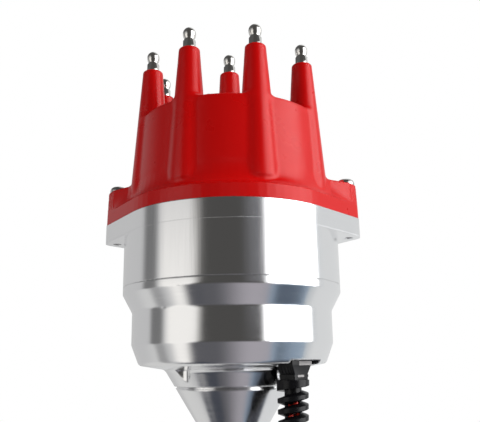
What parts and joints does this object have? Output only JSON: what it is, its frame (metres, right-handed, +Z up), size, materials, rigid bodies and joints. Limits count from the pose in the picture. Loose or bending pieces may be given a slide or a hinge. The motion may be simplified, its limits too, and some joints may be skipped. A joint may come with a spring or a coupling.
{
  "type": "ignition distributor",
  "caption": "Engine ignition distributor with a moulded cap of ribbed towers, a turned aluminium housing, a cone and shank, and a geared shaft under mechanical advance.",
  "frame": {"origin": "on the shaft axis at the underside of the collar, where the distributor stands on the engine", "axes": "+Z up the shaft towards the cap, X through the two cap ears"},
  "size_m": [0.1384, 0.1142, 0.4808],
  "materials": {
    "cap_red": "satin moulded",
    "machined_aluminium": "turned and polished",
    "terminal_steel": "polished",
    "screw_steel": "plated",
    "shaft_steel": "ground",
    "hardened_steel": "heat treated",
    "gear_iron": "machined",
    "bronze": "sintered",
    "brass": "bright",
    "carbon": "carbon",
    "rotor_red": "moulded",
    "module_black": "potted",
    "rubber_black": "moulded",
    "sleeve_black": "braided sleeve",
    "plug_black": "moulded",
    "plated_plate": "zinc plated"
  },
  "bodies": {
    "root": {"lower_housing": "machined_aluminium", "upper_housing": "machined_aluminium", "distributor_cap": "cap_red", "carbon_button": "carbon", "shank_o_ring": "rubber_black", "thrust_washer": "bronze", "magnetic_pickup": "module_black", "ignition_module": "module_black", "strain_relief": "rubber_black", "tower_terminals": "terminal_steel", "centre_terminal": "terminal_steel", "cap_screws": "screw_steel", "housing_screws": "screw_steel", "module_screws": "screw_steel", "pickup_screws": "screw_steel", "bearing_outer_race": "hardened_steel", "bearing_snap_ring": "hardened_steel", "lower_bushing": "bronze", "lead_cable": "sleeve_black", "lead_plug": "plug_black"},
    "shaft": {"mainshaft": "shaft_steel", "bearing_inner_race": "hardened_steel", "drive_gear": "gear_iron", "gear_pin": "hardened_steel", "centre_cam": "hardened_steel", "cam_clip": "hardened_steel", "stop_bushings": "brass"},
    "ball_ring": {"bearing_balls": "terminal_steel"},
    "advance_head": {"reluctor_sleeve": "hardened_steel", "advance_plate": "plated_plate", "weight_pins": "shaft_steel", "weight_clips": "hardened_steel", "spring_posts": "shaft_steel", "rotor": "rotor_red", "rotor_blade": "brass", "rotor_screws": "screw_steel", "advance_spring_a": "screw_steel", "advance_spring_b": "screw_steel"},
    "weight_a": {"advance_weight_a": "shaft_steel"},
    "weight_b": {"advance_weight_b": "shaft_steel"}
  },
  "joints": [
    {"name": "shaft_spin", "type": "hinge", "parent": "root", "child": "shaft", "pos_m": [0, 0, 0], "axis": [0, 0, 1], "continuous": true},
    {"name": "ball_roll", "type": "hinge", "parent": "root", "child": "ball_ring", "pos_m": [0, 0, 0.0558], "axis": [0, 0, 1], "continuous": true},
    {"name": "advance_turn", "type": "hinge", "parent": "shaft", "child": "advance_head", "pos_m": [0, 0, 0.1], "axis": [0, 0, 1], "range_deg": [0, 12], "deforming": ["advance_spring_a", "advance_spring_b"]},
    {"name": "weight_a_swing", "type": "hinge", "parent": "advance_head", "child": "weight_a", "pos_m": [-0.02252, 0.013, 0.102], "axis": [0, 0, 1], "range_deg": [0, 24]},
    {"name": "weight_b_swing", "type": "hinge", "parent": "advance_head", "child": "weight_b", "pos_m": [0.02252, -0.013, 0.102], "axis": [0, 0, 1], "range_deg": [0, 24]}
  ],
  "couplings": [
    {"joint": "ball_roll", "follows": "shaft_spin", "ratio": 0.4202},
    {"joint": "weight_a_swing", "follows": "advance_turn", "ratio": 2},
    {"joint": "weight_b_swing", "follows": "advance_turn", "ratio": 2}
  ]
}
